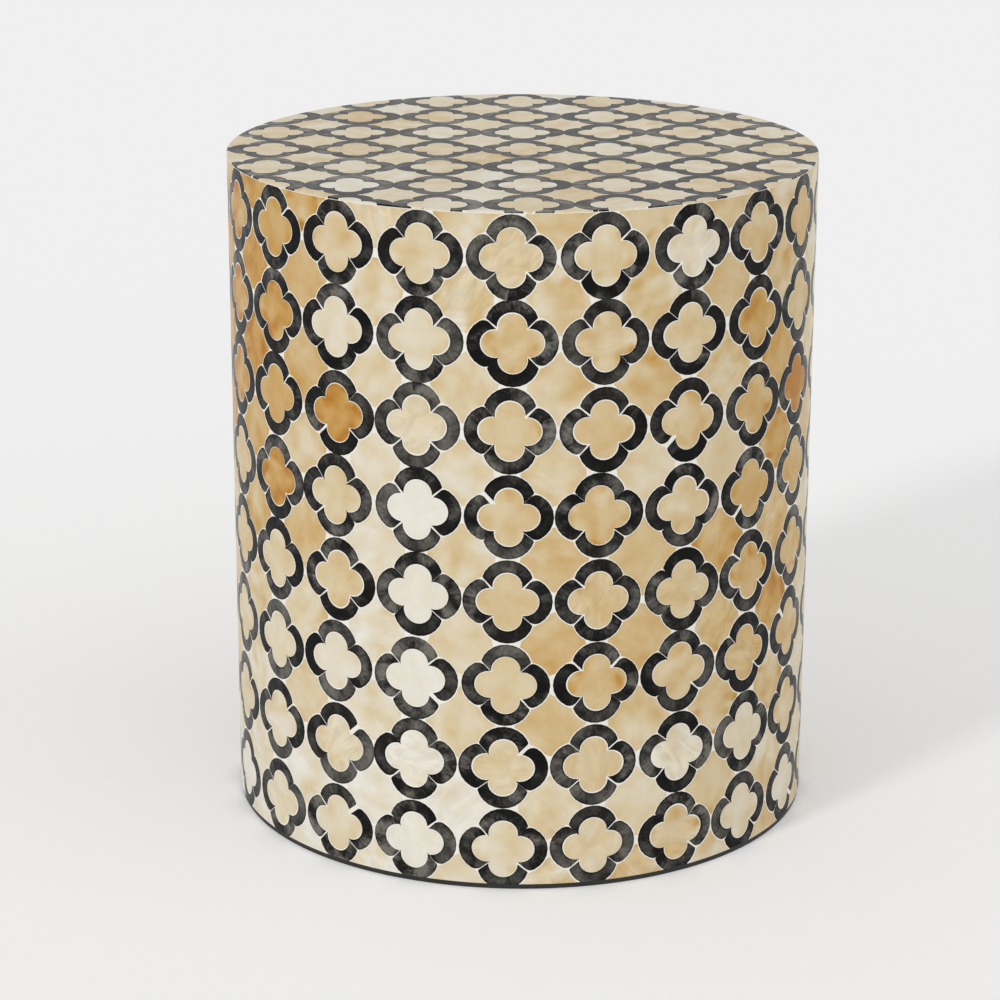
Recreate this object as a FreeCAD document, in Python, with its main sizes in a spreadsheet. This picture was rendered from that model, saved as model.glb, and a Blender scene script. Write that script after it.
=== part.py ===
import FreeCAD, Part
import math
import os

import Sketcher

# Drum stool with shell inlay, in millimetres. +Z is up, the drum's axis is the Z axis, and Z = 0
# is the floor. The front of the inlay faces -Y.

os.makedirs("parts", exist_ok=True)
doc = FreeCAD.newDocument("drum_stool")
VEC = FreeCAD.Vector
ORIGIN = VEC(0, 0, 0)
UP = VEC(0, 0, 1)

# Driving dimensions
sizes = doc.addObject("Spreadsheet::Sheet", "Sizes")
driving_sizes = [
    ("drum_diameter", 350.0),
    ("drum_height", 400.0),
    # skin: shell pieces on a thin bed of pale filler
    ("inlay_thickness", 1.0),
    ("bed_thickness", 0.5),
    ("rim_line", 0.9),
    ("arris_flat", 0.35),
    # carcass
    ("ply_thickness", 3.0),
    ("ply_seam", 0.6),
    ("top_board_thickness", 18.0),
    ("former_thickness", 18.0),
    ("former_width", 40.0),
    ("batten_width", 22.0),
    ("batten_depth", 22.0),
    ("housing_depth", 3.0),
    ("joint_clearance", 0.1),
    ("batten_count", 6),
    ("base_panel_thickness", 3.0),
    ("base_panel_inset", 0.5),
    # countersunk wood screws
    ("screw_diameter", 3.5),
    ("screw_head_diameter", 7.0),
    ("screw_head_height", 2.2),
    ("screw_point", 4.0),
    ("screw_clearance", 0.05),
    ("recess_length", 3.6),
    ("recess_width", 0.9),
    ("recess_depth", 1.5),
    ("batten_screw_length", 45.0),
    ("top_screw_length", 30.0),
    ("base_screw_length", 16.0),
    # quatrefoil pattern of the side
    ("side_columns", 21),
    ("side_rows", 8),
    ("pattern_lift", 0.5),
    ("pattern_start", -5.0),
    ("row_lean", 0.7),
    ("petal_joint", 1.0),
    ("fine_joint", 0.4),
    ("star_tip_width", 2.6),
    ("least_piece", 2.0),
    # the same pattern on the top, set a little off centre
    ("top_across", 7),
    ("top_shift_right", 1.0),
    ("top_shift_front", 4.0),
    ("top_turn", 1.0),
    # outline of a quatrefoil, as shares of its pitch
    ("lobe_offset_share", 0.178),
    ("heart_lobe_share", 0.170),
    ("petal_outer_share", 0.318),
    ("top_depth_pitch_share", 1.02),
]
for row_number, (alias, value) in enumerate(driving_sizes, start=1):
    sizes.set(f"A{row_number}", alias)
    sizes.set(f"B{row_number}", str(value))
    sizes.setAlias(f"B{row_number}", alias)
doc.recompute()


def sheet_size(alias):
    return float(sizes.get(alias))


# Sizes that follow from the driving ones, each an expression on the sheet's cells
OUTER_RADIUS = "Sizes.drum_diameter / 2"
SKIN = "(Sizes.inlay_thickness + Sizes.bed_thickness)"
BED_RADIUS = f"({OUTER_RADIUS} - Sizes.inlay_thickness)"
WALL_RADIUS = f"({OUTER_RADIUS} - {SKIN})"
PLY_JOINT_RADIUS = f"({WALL_RADIUS} - Sizes.ply_thickness)"
INNER_RADIUS = f"({PLY_JOINT_RADIUS} - Sizes.ply_thickness)"
FORMER_RADIUS = f"({INNER_RADIUS} - Sizes.joint_clearance)"
FORMER_INNER_RADIUS = f"({INNER_RADIUS} - Sizes.former_width)"
BOARD_TOP = f"(Sizes.drum_height - {SKIN})"
SIDE_TOP = "(Sizes.drum_height - Sizes.inlay_thickness)"
BOARD_BASE = f"({BOARD_TOP} - Sizes.top_board_thickness)"
UPPER_FORMER_BASE = f"({BOARD_BASE} - Sizes.former_thickness)"
LOWER_FORMER_BASE = "Sizes.base_panel_thickness"
LOWER_FORMER_TOP = f"({LOWER_FORMER_BASE} + Sizes.former_thickness)"
MIDDLE_FORMER_BASE = f"(({LOWER_FORMER_TOP} + {UPPER_FORMER_BASE} - Sizes.former_thickness) / 2)"
BATTEN_BASE = f"({LOWER_FORMER_TOP} - Sizes.housing_depth)"
BATTEN_LENGTH = f"({UPPER_FORMER_BASE} - {LOWER_FORMER_TOP} + 2 * Sizes.housing_depth)"
BATTEN_OUTER = f"(sqrt({INNER_RADIUS} ^ 2 - (Sizes.batten_width / 2) ^ 2) - Sizes.joint_clearance)"
BATTEN_INNER = f"({BATTEN_OUTER} - Sizes.batten_depth)"
BATTEN_CENTRE = f"({BATTEN_OUTER} - Sizes.batten_depth / 2)"
HOUSING_WIDTH = "(Sizes.batten_width + 2 * Sizes.joint_clearance)"
HOUSING_INNER = f"({BATTEN_INNER} - Sizes.joint_clearance)"
FREE_RING_CENTRE = f"(({FORMER_INNER_RADIUS} + {BATTEN_INNER}) / 2)"
HALF_STEP = "(180 / Sizes.batten_count)"
TOP_FIELD_RADIUS = f"({OUTER_RADIUS} - Sizes.rim_line)"


def value_of(expression):
    return float(sizes.evalExpression(expression.replace("Sizes.", "")))


def origin_part(body, role):
    for feature in body.Origin.OriginFeatures:
        if feature.Role == role:
            return feature
    raise ValueError(role)


def new_body(label, base_height="0"):
    body = doc.addObject("PartDesign::Body", label)
    body.Label = label
    body.AllowCompound = True
    body.setExpression(".Placement.Base.z", base_height)
    return body


def new_sketch(body, name, role, height="0", turn="0"):
    # height lifts a sketch on the XY plane; turn swings a sketch about the drum's axis, which is
    # the sketch's own Z on the XY plane and its own Y on the XZ plane
    swing_axis = UP if role == "XY_Plane" else VEC(0, 1, 0)
    sketch = body.newObject("Sketcher::SketchObject", f"{body.Label}_{name}")
    sketch.AttachmentSupport = (origin_part(body, role), [""])
    sketch.MapMode = "FlatFace"
    if height != "0":
        sketch.setExpression(".AttachmentOffset.Base.z", height)
    if turn != "0":
        swing = FreeCAD.Rotation(swing_axis, value_of(turn))
        sketch.AttachmentOffset = FreeCAD.Placement(ORIGIN, swing)
        sketch.setExpression(".AttachmentOffset.Rotation.Angle", turn)
    return sketch


def bind_point(sketch, line, number, across, along):
    # puts the start of one line at two sheet expressions, measured from the sketch's origin
    for kind, axis, expression in (("DistanceX", -2, across), ("DistanceY", -1, along)):
        if expression == "0":
            sketch.addConstraint(Sketcher.Constraint("PointOnObject", line, 1, axis))
            continue
        constraint = Sketcher.Constraint(kind, -1, 1, line, 1, value_of(expression))
        index = sketch.addConstraint(constraint)
        name = f"{kind}_{number}"
        sketch.renameConstraint(index, name)
        sketch.setExpression(f"Constraints.{name}", expression)


def draw_outline(sketch, corners):
    # closed outline of straight lines through corners given as pairs of expressions
    places = [VEC(value_of(across), value_of(along), 0) for across, along in corners]
    lines = []
    for here, there in zip(places, places[1:] + places[:1]):
        lines.append(sketch.addGeometry(Part.LineSegment(here, there), False))
    for line, following in zip(lines, lines[1:] + lines[:1]):
        sketch.addConstraint(Sketcher.Constraint("Coincident", line, 2, following, 1))
    for number, (line, (across, along)) in enumerate(zip(lines, corners)):
        bind_point(sketch, line, number, across, along)


def turn_profile(body, kind, name, corners, axis_radius="0", turn="0"):
    # revolves a profile, drawn in the XZ plane, about the upright line at axis_radius
    sketch = new_sketch(body, name, "XZ_Plane", turn=turn)
    draw_outline(sketch, corners)
    feature = body.newObject(kind, f"{body.Label}_{name}_turned")
    feature.Profile = sketch
    if axis_radius == "0":
        feature.ReferenceAxis = (origin_part(body, "Z_Axis"), [""])
    else:
        place = value_of(axis_radius)
        axis = sketch.addGeometry(Part.LineSegment(VEC(place, 0, 0), VEC(place, place, 0)), True)
        bind_point(sketch, axis, len(corners), axis_radius, "0")
        sketch.addConstraint(Sketcher.Constraint("Vertical", axis))
        reach = sketch.addConstraint(Sketcher.Constraint("DistanceY", axis, 1, axis, 2, place))
        sketch.renameConstraint(reach, "axis_reach")
        sketch.setExpression("Constraints.axis_reach", axis_radius)
        feature.ReferenceAxis = (sketch, ["Axis0"])
    feature.Angle = 360
    sketch.Visibility = False
    body.Tip = feature
    return feature


def repeat_round(body, features):
    # repeats features about the drum's axis, once for each batten
    pattern = body.newObject("PartDesign::PolarPattern", f"{features[-1].Name}_round")
    pattern.Originals = features
    pattern.Axis = (origin_part(body, "Z_Axis"), [""])
    pattern.Angle = 360
    pattern.setExpression("Occurrences", "Sizes.batten_count")
    body.Tip = pattern


def draw_rectangle(sketch, low, high, width):
    # rectangle from low to high along X, centred on the X axis and as wide as width
    half = value_of(width) / 2
    start, end = value_of(low), value_of(high)
    places = [VEC(start, -half, 0), VEC(end, -half, 0), VEC(end, half, 0), VEC(start, half, 0)]
    lines = []
    for here, there in zip(places, places[1:] + places[:1]):
        lines.append(sketch.addGeometry(Part.LineSegment(here, there), False))
    for line, following in zip(lines, lines[1:] + lines[:1]):
        sketch.addConstraint(Sketcher.Constraint("Coincident", line, 2, following, 1))
    for line, direction in zip(lines, ("Horizontal", "Vertical", "Horizontal")):
        sketch.addConstraint(Sketcher.Constraint(direction, line))
    sketch.addConstraint(Sketcher.Constraint("Symmetric", lines[0], 1, lines[3], 1, -1))
    named = [
        ("low_edge", Sketcher.Constraint("DistanceX", -1, 1, lines[0], 1, start), low),
        ("high_edge", Sketcher.Constraint("DistanceX", -1, 1, lines[0], 2, end), high),
        ("width", Sketcher.Constraint("DistanceY", lines[1], 1, lines[1], 2, 2 * half), width),
    ]
    for name, constraint, expression in named:
        index = sketch.addConstraint(constraint)
        sketch.renameConstraint(index, name)
        sketch.setExpression(f"Constraints.{name}", expression)


def cut_pocket(body, name, height, depth, upward, low, high, width, turn="0"):
    sketch = new_sketch(body, name, "XY_Plane", height, turn)
    draw_rectangle(sketch, low, high, width)
    pocket = body.newObject("PartDesign::Pocket", f"{body.Label}_{name}_cut")
    pocket.Profile = sketch
    pocket.setExpression("Length", depth)
    pocket.Reversed = upward
    body.Tip = pocket
    return pocket


def ring_corners(inner, outer, height):
    return [(inner, "0"), (outer, "0"), (outer, height), (inner, height)]


def new_round(label, inner, outer, height, base_height):
    # a disc where inner is 0, and otherwise a ring
    body = new_body(label, base_height)
    turn_profile(body, "PartDesign::Revolution", "section", ring_corners(inner, outer, height))
    return body


def cut_housings(body, height, depth, upward):
    # one housing for each batten, open at the ring's rim
    rim = f"{INNER_RADIUS} + Sizes.joint_clearance"
    arguments = (height, depth, upward, HOUSING_INNER, rim, HOUSING_WIDTH)
    repeat_round(body, [cut_pocket(body, "housing", *arguments)])


def screw_corners(radius, seat, length, way, grow="0"):
    # half section of a countersunk screw whose head is flush at height seat; way is + or -
    return [
        (radius, seat),
        (f"{radius} + Sizes.screw_head_diameter / 2 + {grow}", seat),
        (
            f"{radius} + Sizes.screw_diameter / 2 + {grow}",
            f"{seat} {way} (Sizes.screw_head_height + {grow})",
        ),
        (
            f"{radius} + Sizes.screw_diameter / 2 + {grow}",
            f"{seat} {way} ({length} - Sizes.screw_point)",
        ),
        (radius, f"{seat} {way} ({length} + {grow})"),
    ]


def new_screws(label, seat_height, radius, length, way, turn="0"):
    # a round of screws with a cross recess, drawn from the height of their heads' faces
    body = new_body(label, seat_height)
    corners = screw_corners(radius, "0", length, way)
    features = [turn_profile(body, "PartDesign::Revolution", "shank", corners, radius, turn)]
    for name, along, across in (
        ("first_slot", "Sizes.recess_length", "Sizes.recess_width"),
        ("second_slot", "Sizes.recess_width", "Sizes.recess_length"),
    ):
        low = f"{radius} - {along} / 2"
        high = f"{radius} + {along} / 2"
        upward = way == "+"
        features.append(
            cut_pocket(body, name, "0", "Sizes.recess_depth", upward, low, high, across, turn)
        )
    repeat_round(body, features)


def drill_for_screws(body, name, radius, seat, length, way, turn="0"):
    # holes that follow the screws' own shape with the clearance all round
    corners = screw_corners(radius, seat, length, way, "Sizes.screw_clearance")
    groove = turn_profile(body, "PartDesign::Groove", name, corners, radius, turn)
    repeat_round(body, [groove])


# Carcass: plywood formers, battens and a wall of two bent plies, closed by two boards
SCREW_ABOVE_HOUSING = "(Sizes.former_thickness - Sizes.housing_depth)"

base_panel = new_round(
    "base_panel",
    "0",
    f"({OUTER_RADIUS} - Sizes.base_panel_inset)",
    "Sizes.base_panel_thickness",
    "0",
)
drill_for_screws(
    base_panel, "screw_hole", FREE_RING_CENTRE, "0", "Sizes.base_screw_length", "+", HALF_STEP
)

lower_former = new_round(
    "lower_former", FORMER_INNER_RADIUS, FORMER_RADIUS, "Sizes.former_thickness", LOWER_FORMER_BASE
)
cut_housings(lower_former, "Sizes.former_thickness", "Sizes.housing_depth", False)
drill_for_screws(
    lower_former, "batten_screw_hole", BATTEN_CENTRE, "0", "Sizes.batten_screw_length", "+"
)
drill_for_screws(
    lower_former,
    "base_screw_hole",
    FREE_RING_CENTRE,
    "(0 - Sizes.base_panel_thickness)",
    "Sizes.base_screw_length",
    "+",
    HALF_STEP,
)

middle_former = new_round(
    "middle_former",
    FORMER_INNER_RADIUS,
    FORMER_RADIUS,
    "Sizes.former_thickness",
    MIDDLE_FORMER_BASE,
)
cut_housings(middle_former, "Sizes.former_thickness", "Sizes.former_thickness", False)

upper_former = new_round(
    "upper_former", FORMER_INNER_RADIUS, FORMER_RADIUS, "Sizes.former_thickness", UPPER_FORMER_BASE
)
cut_housings(upper_former, "0", "Sizes.housing_depth", True)
drill_for_screws(
    upper_former,
    "batten_screw_hole",
    BATTEN_CENTRE,
    "Sizes.former_thickness",
    "Sizes.batten_screw_length",
    "-",
)
drill_for_screws(
    upper_former,
    "top_screw_hole",
    FREE_RING_CENTRE,
    "0",
    "Sizes.top_screw_length",
    "+",
    HALF_STEP,
)

top_board = new_round("top_board", "0", WALL_RADIUS, "Sizes.top_board_thickness", BOARD_BASE)
drill_for_screws(
    top_board,
    "screw_hole",
    FREE_RING_CENTRE,
    "(0 - Sizes.former_thickness)",
    "Sizes.top_screw_length",
    "+",
    HALF_STEP,
)

battens = new_body("battens", BATTEN_BASE)
batten_sketch = new_sketch(battens, "section", "XY_Plane")
draw_rectangle(batten_sketch, BATTEN_INNER, BATTEN_OUTER, "Sizes.batten_width")
batten_pad = battens.newObject("PartDesign::Pad", "batten_length")
batten_pad.Profile = batten_sketch
batten_pad.setExpression("Length", BATTEN_LENGTH)
batten_features = [batten_pad]
for end_name, seat, way in (
    ("lower_hole", f"(0 - {SCREW_ABOVE_HOUSING})", "+"),
    ("upper_hole", f"({BATTEN_LENGTH} + {SCREW_ABOVE_HOUSING})", "-"),
):
    end_corners = screw_corners(
        BATTEN_CENTRE, seat, "Sizes.batten_screw_length", way, "Sizes.screw_clearance"
    )
    groove = turn_profile(battens, "PartDesign::Groove", end_name, end_corners, BATTEN_CENTRE)
    batten_features.append(groove)
repeat_round(battens, batten_features)

# each ply is one bent sheet, butted on a batten; the two seams are one batten apart
PLY_HEIGHT = f"({BOARD_BASE} - Sizes.base_panel_thickness)"
for ply_label, ply_inner, ply_outer, seam_turn in (
    ("inner_ply", INNER_RADIUS, PLY_JOINT_RADIUS, "0"),
    ("outer_ply", PLY_JOINT_RADIUS, WALL_RADIUS, "(360 / Sizes.batten_count)"),
):
    ply = new_round(ply_label, ply_inner, ply_outer, PLY_HEIGHT, "Sizes.base_panel_thickness")
    seam_low = f"{ply_inner} - Sizes.ply_thickness"
    seam_high = f"{ply_outer} + Sizes.ply_thickness"
    cut_pocket(ply, "seam", "0", PLY_HEIGHT, True, seam_low, seam_high, "Sizes.ply_seam")
    ply.setExpression(".Placement.Rotation.Angle", seam_turn)

new_screws("base_screws", "0", FREE_RING_CENTRE, "Sizes.base_screw_length", "+", HALF_STEP)
new_screws(
    "lower_batten_screws", LOWER_FORMER_BASE, BATTEN_CENTRE, "Sizes.batten_screw_length", "+"
)
new_screws("upper_batten_screws", BOARD_BASE, BATTEN_CENTRE, "Sizes.batten_screw_length", "-")
new_screws(
    "top_screws", UPPER_FORMER_BASE, FREE_RING_CENTRE, "Sizes.top_screw_length", "+", HALF_STEP
)

# Beds of pale filler under the shell, and the pale ring that makes the arris
new_round(
    "side_filler",
    WALL_RADIUS,
    BED_RADIUS,
    f"({SIDE_TOP} - Sizes.base_panel_thickness)",
    "Sizes.base_panel_thickness",
)
new_round("top_filler", "0", WALL_RADIUS, "Sizes.bed_thickness", BOARD_TOP)
rim_filler = new_body("rim_filler", SIDE_TOP)
rim_corners = [
    (TOP_FIELD_RADIUS, "0"),
    (OUTER_RADIUS, "0"),
    (OUTER_RADIUS, "(Sizes.inlay_thickness - Sizes.arris_flat)"),
    (f"({OUTER_RADIUS} - Sizes.arris_flat)", "Sizes.inlay_thickness"),
    (TOP_FIELD_RADIUS, "Sizes.inlay_thickness"),
]
turn_profile(rim_filler, "PartDesign::Revolution", "section", rim_corners)


# Outlines of the shell pieces, drawn flat about the centre of a quatrefoil or a star
def arc_edge(start, through, end):
    return Part.Arc(start, through, end).toShape()


def on_circle(centre, radius, towards):
    return centre + (towards - centre).normalize() * radius


def diagonal_meeting(offset, radius, shift):
    # where the circle of the upper lobe meets the line y = x + shift, on its right side
    half = (offset - shift) / 2
    across = half + math.sqrt(radius * radius / 2 - half * half)
    return VEC(across, across + shift, 0)


class Quatrefoil:
    # sizes of one quatrefoil for the pitch that it has to fit
    def __init__(self, pitch):
        self.offset = pitch * sheet_size("lobe_offset_share")
        self.heart_lobe = pitch * sheet_size("heart_lobe_share")
        self.petal_inner = self.heart_lobe + sheet_size("fine_joint")
        self.petal_outer = pitch * sheet_size("petal_outer_share")
        self.star_lobe = self.petal_outer + sheet_size("fine_joint")


def mirrored(point):
    return VEC(-point.x, point.y, 0)


def turned_point(point, quarter):
    turned = VEC(point)
    for _ in range(quarter):
        turned = VEC(-turned.y, turned.x, 0)
    return turned


def heart_face(foil):
    notch = diagonal_meeting(foil.offset, foil.heart_lobe, 0)
    tip = VEC(0, foil.offset + foil.heart_lobe, 0)
    edges = []
    for quarter in range(4):
        points = [turned_point(point, quarter) for point in (notch, tip, mirrored(notch))]
        edges.append(arc_edge(*points))
    return Part.Face(Part.Wire(edges))


def petal_face(foil, quarter):
    shift = sheet_size("petal_joint") / math.sqrt(2)
    inner = diagonal_meeting(foil.offset, foil.petal_inner, shift)
    outer = diagonal_meeting(foil.offset, foil.petal_outer, shift)
    inner_tip = VEC(0, foil.offset + foil.petal_inner, 0)
    outer_tip = VEC(0, foil.offset + foil.petal_outer, 0)
    edges = [
        arc_edge(mirrored(inner), inner_tip, inner),
        Part.LineSegment(inner, outer).toShape(),
        arc_edge(outer, outer_tip, mirrored(outer)),
        Part.LineSegment(mirrored(outer), mirrored(inner)).toShape(),
    ]
    face = Part.Face(Part.Wire(edges))
    face.rotate(ORIGIN, UP, 90 * quarter)
    return face


def star_face(foil, pitch_across, pitch_along):
    # fills the space among four quatrefoils; its four tips are cut where they get too narrow
    corner = VEC(pitch_across / 2, pitch_along / 2, 0)
    beside = VEC(corner.x - foil.offset, corner.y, 0)
    above = VEC(corner.x, corner.y - foil.offset, 0)
    middle = (beside + above) / 2
    notch = middle - VEC(1, 1, 0).normalize() * math.sqrt(
        foil.star_lobe ** 2 - foil.offset ** 2 / 2
    )

    def tip_point(half_gap, half_reach):
        narrow = half_gap - sheet_size("star_tip_width") / 2
        cut = math.sqrt(max(foil.star_lobe ** 2 - narrow ** 2, 0))
        cut = max(cut, sheet_size("petal_joint") / 2)
        return half_gap - math.sqrt(foil.star_lobe ** 2 - cut ** 2), half_reach - cut

    upper_half, upper_reach = tip_point(beside.x, corner.y)
    side_half, side_reach = tip_point(above.y, corner.x)
    upper = VEC(upper_half, upper_reach, 0)
    side = VEC(side_reach, side_half, 0)
    outline = []
    for flip_x, flip_y in ((1, 1), (-1, 1), (-1, -1), (1, -1)):
        quarter = [
            (upper, on_circle(beside, foil.star_lobe, (upper + notch) / 2), notch),
            (notch, on_circle(above, foil.star_lobe, (notch + side) / 2), side),
        ]
        if flip_x * flip_y > 0:
            quarter = [tuple(reversed(arc)) for arc in reversed(quarter)]
        for arc in quarter:
            outline.append([VEC(point.x * flip_x, point.y * flip_y, 0) for point in arc])
    edges = []
    for arc, following in zip(outline, outline[1:] + outline[:1]):
        edges.append(arc_edge(*arc))
        if (arc[2] - following[0]).Length > 0:
            edges.append(Part.LineSegment(arc[2], following[0]).toShape())
    return Part.Face(Part.Wire(edges))


def new_pieces(label, solids):
    # a group of separate solids that share one node
    group = doc.addObject("Part::Feature", label)
    group.Label = label
    group.Shape = Part.makeCompound(solids)
    group.Placement = FreeCAD.Placement()


# Side inlay: rows are numbered from the floor, columns go round from the front
outer_radius = value_of(OUTER_RADIUS)
thickness = sheet_size("inlay_thickness")
columns = int(sheet_size("side_columns"))
rows = int(sheet_size("side_rows"))
side_base = sheet_size("base_panel_thickness")
side_top = value_of(SIDE_TOP)
row_pitch = sheet_size("drum_height") / rows
column_pitch = 2 * math.pi * outer_radius / columns
side_foil = Quatrefoil(min(row_pitch, column_pitch))
side_shell = Part.makeCylinder(outer_radius, 2 * row_pitch, VEC(0, 0, -row_pitch))
side_shell = side_shell.cut(
    Part.makeCylinder(outer_radius - thickness, 2 * row_pitch, VEC(0, 0, -row_pitch))
)
side_field = Part.makeBox(
    4 * outer_radius,
    4 * outer_radius,
    side_top - side_base,
    VEC(-2 * outer_radius, -2 * outer_radius, side_base),
)


def side_blank(face):
    # stands a flat outline up against the drum at +X and cuts the piece out of the shell
    upright = face.copy()
    upright.Placement = FreeCAD.Placement(
        VEC(outer_radius + thickness, 0, 0), FreeCAD.Rotation(VEC(1, 1, 1), 120)
    ).multiply(face.Placement)
    return upright.extrude(VEC(-row_pitch, 0, 0)).common(side_shell).Solids[0]


def row_height(level):
    return row_pitch * (level + 0.5) + sheet_size("pattern_lift")


def row_angle(level, column):
    lean = sheet_size("pattern_start") - sheet_size("row_lean") * (rows - 1 - level)
    return math.degrees(lean / outer_radius) - 90 + 360 / columns * column


def side_row(blanks, level, first_column):
    # copies the blanks to every column of one row, trimmed to the field of the side
    solids = []
    for blank in blanks:
        raised = blank.copy()
        raised.translate(VEC(0, 0, row_height(level)))
        box = raised.BoundBox
        if box.ZMin < side_base or box.ZMax > side_top:
            raised = raised.common(side_field)
        for piece in raised.Solids:
            for column in range(columns):
                copy = piece.copy()
                copy.rotate(ORIGIN, UP, row_angle(level, first_column + column))
                solids.append(copy)
    return solids


side_hearts = [side_blank(heart_face(side_foil))]
side_petals = [side_blank(petal_face(side_foil, quarter)) for quarter in range(4)]
side_stars = [side_blank(star_face(side_foil, column_pitch, row_pitch))]
for level in range(rows):
    new_pieces(f"side_hearts_row_{level + 1}", side_row(side_hearts, level, 0))
    new_pieces(f"side_petals_row_{level + 1}", side_row(side_petals, level, 0))
for level in range(1, rows):
    new_pieces(f"side_stars_row_{level}", side_row(side_stars, level - 0.5, 0.5))
new_pieces("side_stars_base", side_row(side_stars, -0.5, 0.5))
new_pieces("side_stars_rim", side_row(side_stars, rows - 0.5, 0.5))

# Top inlay: a square lattice, trimmed to the ring that makes the arris
top_across = int(sheet_size("top_across"))
top_pitch = 2 * outer_radius / top_across
top_depth_pitch = top_pitch * sheet_size("top_depth_pitch_share")
top_foil = Quatrefoil(min(top_pitch, top_depth_pitch))
top_radius = value_of(TOP_FIELD_RADIUS)
top_field = Part.makeCylinder(top_radius, 4 * thickness, VEC(0, 0, side_top - thickness))
least_volume = sheet_size("least_piece") ** 2 * thickness


def top_pieces(faces, start):
    blanks = [face.extrude(VEC(0, 0, thickness)) for face in faces]
    reach = top_across // 2 + 2
    solids = []
    for across in range(-reach, reach + 1):
        for along in range(-reach, reach + 1):
            place = VEC((across + start) * top_pitch, (along + start) * top_depth_pitch, 0)
            for blank in blanks:
                piece = blank.copy()
                piece.translate(place)
                piece.rotate(ORIGIN, UP, sheet_size("top_turn"))
                shift = VEC(sheet_size("top_shift_right"), -sheet_size("top_shift_front"), side_top)
                piece.translate(shift)
                solids += trimmed_to_top(piece)
    return solids


def trimmed_to_top(piece):
    box = piece.BoundBox
    farthest = math.hypot(max(abs(box.XMin), abs(box.XMax)), max(abs(box.YMin), abs(box.YMax)))
    if farthest < top_radius:
        return piece.Solids
    trimmed = piece.common(top_field)
    return [solid for solid in trimmed.Solids if solid.Volume > least_volume]


new_pieces("top_hearts", top_pieces([heart_face(top_foil)], 0))
new_pieces("top_petals", top_pieces([petal_face(top_foil, quarter) for quarter in range(4)], 0))
new_pieces("top_stars", top_pieces([star_face(top_foil, top_pitch, top_depth_pitch)], 0.5))

# Check and write every sub-part
doc.recompute()
failed = [item.Name for item in doc.Objects if {"Invalid", "Error"} & set(item.State)]
if failed:
    raise RuntimeError(f"objects that failed: {failed}")
nodes = [item for item in doc.Objects if item.TypeId in ("PartDesign::Body", "Part::Feature")]
for node in nodes:
    if node.Shape.isNull() or not node.Shape.isValid():
        raise RuntimeError(f"shape that failed: {node.Label}")
for node in nodes:
    node.Shape.exportStep(f"parts/{node.Label}.step")
print(len(nodes), "sub-parts,", sum(len(node.Shape.Solids) for node in nodes), "solids")
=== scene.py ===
import math
import random

import bmesh
import bpy
from mathutils import Matrix, Quaternion, Vector


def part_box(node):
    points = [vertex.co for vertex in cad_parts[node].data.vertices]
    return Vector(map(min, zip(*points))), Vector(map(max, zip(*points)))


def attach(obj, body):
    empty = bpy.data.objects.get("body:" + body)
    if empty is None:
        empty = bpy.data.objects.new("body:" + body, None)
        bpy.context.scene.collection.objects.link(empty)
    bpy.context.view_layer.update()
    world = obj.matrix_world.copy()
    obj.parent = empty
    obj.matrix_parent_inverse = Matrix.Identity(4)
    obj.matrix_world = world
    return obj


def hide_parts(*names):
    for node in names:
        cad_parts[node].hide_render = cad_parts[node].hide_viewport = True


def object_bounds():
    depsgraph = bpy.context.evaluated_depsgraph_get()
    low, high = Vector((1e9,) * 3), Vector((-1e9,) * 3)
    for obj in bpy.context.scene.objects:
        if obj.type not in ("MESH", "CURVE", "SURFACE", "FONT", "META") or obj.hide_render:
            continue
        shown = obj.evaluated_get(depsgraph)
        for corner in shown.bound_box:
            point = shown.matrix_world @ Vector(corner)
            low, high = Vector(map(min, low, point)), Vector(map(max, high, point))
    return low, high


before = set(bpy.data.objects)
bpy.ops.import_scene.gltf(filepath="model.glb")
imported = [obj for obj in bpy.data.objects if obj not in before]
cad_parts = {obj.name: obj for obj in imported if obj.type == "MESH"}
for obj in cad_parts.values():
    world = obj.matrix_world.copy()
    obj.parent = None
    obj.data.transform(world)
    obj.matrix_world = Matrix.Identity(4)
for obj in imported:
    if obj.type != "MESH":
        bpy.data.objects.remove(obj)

# Drum stool covered in shell inlay, in metres, with angles in radians unless a comment says degrees.
# The drum's axis is Z and the floor is at Z = 0.
# Every piece of shell is cut on a flat sheet, whose X runs round the drum to the right, Y up and
# Z outwards, and the side's sheet is then bent round the drum. The top's sheet stays flat.
cad_low, cad_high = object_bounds()
mm = 0.001
UP = Vector((0, 0, 1))
QUARTER = math.pi / 2

# Sizes of the drum, read from the frame
drum_radius = cad_high.x
drum_height = cad_high.z
side_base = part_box("base_panel")[1].z
side_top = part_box("rim_filler")[0].z
wall_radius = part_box("top_board")[1].x
board_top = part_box("top_filler")[0].z
shell_thickness = drum_height - side_top

# Filler and rim: how far the filler stands below the shell, how wide it shows on the top and under
# the rim, and how much is sanded off the arris
joint_sink = 0.05 * mm
rim_filler_width = 0.9 * mm
rim_joint = 0.35 * mm
rim_soften = 0.15 * mm

# The pattern on the side: rows are counted from the floor, columns round from the front. Each row
# lies a little left of the row above, rows at mid height arch up and dip on the right, and columns
# spread from the front
side_rows = 8
side_columns = 21
row_pitch = drum_height / side_rows
column_pitch = 2 * math.pi * drum_radius / side_columns
pattern_lift = 0.2 * mm
pattern_start = -5 * mm
row_lean = 0.7 * mm
row_arch = 1 * mm
row_dip = 1.2 * mm
row_wander = 0.4 * mm
column_spread = 0.7 * mm
rim_row_drop = 0.7 * mm
rim_row_size = 0.985
side_stretch = 1.03

# The pattern on the top, which is laid a little off the middle
top_across = 7
top_pitch = 2 * drum_radius / top_across
top_reach = range(-(top_across // 2) - 1, top_across // 2 + 2)
top_stretch = 1.02
top_shift = Vector((1 * mm, -4 * mm, 0))
top_turn = math.radians(1)
top_opening = 0.92
top_foil_size = 1.03

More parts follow.
